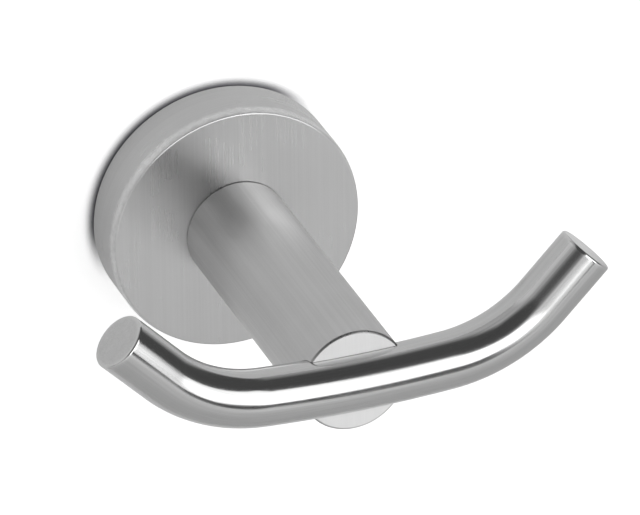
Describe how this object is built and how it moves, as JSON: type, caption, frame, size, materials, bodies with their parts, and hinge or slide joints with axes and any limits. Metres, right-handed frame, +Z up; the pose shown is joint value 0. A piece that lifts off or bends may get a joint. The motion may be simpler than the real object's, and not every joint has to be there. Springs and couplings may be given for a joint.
{
  "type": "double robe hook",
  "caption": "Wall-mounted double robe hook in satin steel: round rose, round post and a bent round bar seated across the post's end, with upturned arms.",
  "frame": {"origin": "centre of the rose on the wall, midway between the two wall screws", "axes": "+Y points into the wall, so the hook stands out along -Y; +X along the bar; +Z up, the way the arms rise"},
  "size_m": [0.1088, 0.0862, 0.055],
  "materials": {
    "rose_steel": "satin",
    "post_steel": "satin, brushed along the post",
    "bar_steel": "satin, brushed along the bar",
    "fastener_steel": "plain stainless",
    "plate_steel": "zinc plated"
  },
  "bodies": {
    "root": {"rose": "rose_steel", "post": "post_steel", "hook_bar": "bar_steel", "clamp_bolt": "fastener_steel", "lock_washer": "fastener_steel", "locating_pin": "fastener_steel", "wall_plate": "plate_steel", "grub_screw": "fastener_steel"}
  },
  "joints": []
}
